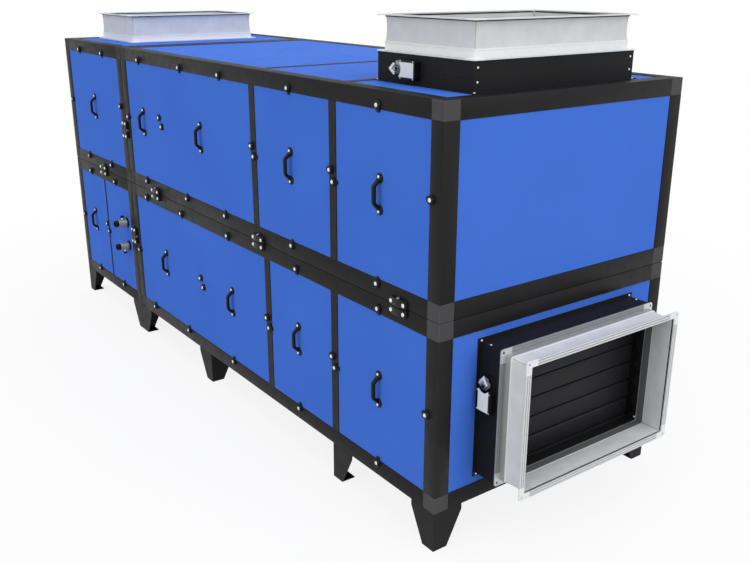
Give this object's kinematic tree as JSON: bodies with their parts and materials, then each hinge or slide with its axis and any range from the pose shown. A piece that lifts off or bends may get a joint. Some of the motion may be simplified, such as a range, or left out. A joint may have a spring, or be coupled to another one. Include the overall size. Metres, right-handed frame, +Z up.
{
  "type": "air handling unit",
  "caption": "Two-deck air handling unit: panelled frame on angle feet, handled doors, pipe stubs, flexible duct connectors and geared louvre dampers.",
  "frame": {"origin": "on the floor, under the middle of the unit's box", "axes": "+X towards the end with the louvre damper, -Y towards the doors, +Z up"},
  "size_m": [3.415, 1.126, 1.662],
  "materials": {
    "panel_blue": "powder coat, satin",
    "frame_black": "powder coat, satin",
    "corner_plastic": "moulded, fine grain",
    "seal_rubber": "matt",
    "handle_black": "moulded, satin",
    "latch_black": "moulded, glossy",
    "foot_black": "powder coat, satin",
    "pipe_metal": "plain steel tube",
    "pipe_trim": "moulded",
    "damper_black": "powder coat, satin",
    "blade_black": "anodised, satin",
    "actuator_grey": "moulded housing",
    "clamp_steel": "zinc plated",
    "galvanised": "galvanised sheet",
    "sleeve_fabric": "coated cloth"
  },
  "bodies": {
    "unit": {"frame_short_lower": "frame_black", "frame_short_upper": "frame_black", "frame_long_lower": "frame_black", "frame_long_upper": "frame_black", "posts_front_lower": "frame_black", "posts_front_upper": "frame_black", "posts_rear": "frame_black", "section_clamps": "frame_black", "corners_lower": "corner_plastic", "corners_upper": "corner_plastic", "section_seal": "seal_rubber", "upper_left_door": "panel_blue", "upper_wide_door": "panel_blue", "upper_middle_door": "panel_blue", "upper_right_door": "panel_blue", "lower_left_door": "panel_blue", "pipe_panel": "panel_blue", "lower_wide_door": "panel_blue", "lower_middle_door": "panel_blue", "lower_right_door": "panel_blue", "rear_panels_lower": "panel_blue", "rear_panels_upper": "panel_blue", "top_panel_far_outlet": "panel_blue", "top_panels_plain": "panel_blue", "top_panel_near_outlet": "panel_blue", "floor_panels": "panel_blue", "deck_ceiling": "panel_blue", "deck_floor": "panel_blue", "end_panel_upper": "panel_blue", "end_panel_lower": "panel_blue", "far_end_panels": "panel_blue", "handles_upper": "handle_black", "handles_lower": "handle_black", "latches_upper": "latch_black", "latches_lower": "latch_black", "feet_front": "foot_black", "feet_rear": "foot_black", "pipe_high": "pipe_metal", "pipe_low": "pipe_metal", "pipe_collars": "pipe_trim", "pipe_plugs": "pipe_trim", "end_damper_frame": "damper_black", "top_damper_frame": "damper_black", "end_damper_actuator": "actuator_grey", "top_damper_actuator": "actuator_grey", "top_damper_blades": "blade_black", "end_connector_flanges": "galvanised", "top_connector_flanges": "galvanised", "far_connector_flanges": "galvanised", "end_connector_sleeve": "sleeve_fabric", "top_connector_sleeve": "sleeve_fabric", "far_connector_sleeve": "sleeve_fabric"},
    "louvre_1": {"blade_1": "blade_black"},
    "louvre_2": {"blade_2": "blade_black"},
    "louvre_3": {"blade_3": "blade_black"},
    "louvre_4": {"blade_4": "blade_black"},
    "louvre_5": {"blade_5": "blade_black", "shaft_clamp": "clamp_steel"},
    "louvre_6": {"blade_6": "blade_black"}
  },
  "joints": [
    {"name": "louvre_1_turn", "type": "hinge", "parent": "unit", "child": "louvre_1", "pos_m": [1.5475, 0.033, 0.293], "axis": [0, 1, 0], "range_deg": [0, 90]},
    {"name": "louvre_2_turn", "type": "hinge", "parent": "unit", "child": "louvre_2", "pos_m": [1.5475, 0.033, 0.363], "axis": [0, -1, 0], "range_deg": [0, 90]},
    {"name": "louvre_3_turn", "type": "hinge", "parent": "unit", "child": "louvre_3", "pos_m": [1.5475, 0.033, 0.433], "axis": [0, 1, 0], "range_deg": [0, 90]},
    {"name": "louvre_4_turn", "type": "hinge", "parent": "unit", "child": "louvre_4", "pos_m": [1.5475, 0.033, 0.503], "axis": [0, -1, 0], "range_deg": [0, 90]},
    {"name": "louvre_5_turn", "type": "hinge", "parent": "unit", "child": "louvre_5", "pos_m": [1.5475, 0.033, 0.573], "axis": [0, 1, 0], "range_deg": [0, 90]},
    {"name": "louvre_6_turn", "type": "hinge", "parent": "unit", "child": "louvre_6", "pos_m": [1.5475, 0.033, 0.643], "axis": [0, -1, 0], "range_deg": [0, 90]}
  ],
  "couplings": [
    {"joint": "louvre_1_turn", "follows": "louvre_5_turn", "ratio": 1},
    {"joint": "louvre_2_turn", "follows": "louvre_5_turn", "ratio": 1},
    {"joint": "louvre_3_turn", "follows": "louvre_5_turn", "ratio": 1},
    {"joint": "louvre_4_turn", "follows": "louvre_5_turn", "ratio": 1},
    {"joint": "louvre_6_turn", "follows": "louvre_5_turn", "ratio": 1}
  ]
}
